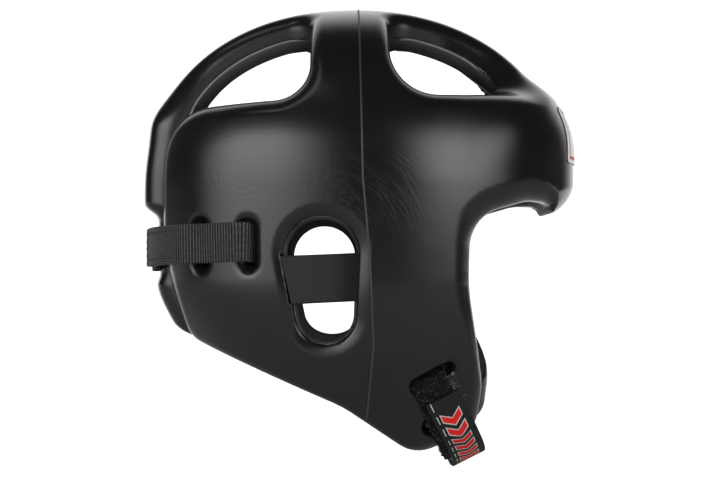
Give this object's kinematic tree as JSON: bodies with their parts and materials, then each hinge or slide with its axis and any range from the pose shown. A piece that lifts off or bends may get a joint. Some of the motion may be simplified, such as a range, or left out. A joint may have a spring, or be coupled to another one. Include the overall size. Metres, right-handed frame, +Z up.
{
  "type": "head guard",
  "caption": "Moulded foam head guard for sparring with open face, ear holes, arches over the crown, and webbing straps at the back and under the chin.",
  "frame": {"origin": "inside of the crown, where the top of the wearer's head sits", "axes": "+X to the front of the head, +Y to the wearer's left, +Z up"},
  "size_m": [0.2582, 0.21, 0.2733],
  "materials": {
    "foam": "semi-gloss moulded skin",
    "webbing": "ribbed webbing",
    "elastic": "plain elastic",
    "pile_strap": "loop pile",
    "patch": "satin"
  },
  "bodies": {
    "root": {"foam_shell": "foam", "rear_strap_right": "webbing", "rear_strap_left": "webbing", "ear_band_right": "elastic", "ear_band_left": "elastic", "chin_strap_right": "pile_strap", "chin_strap_left": "webbing", "forehead_patch": "patch"}
  },
  "joints": []
}
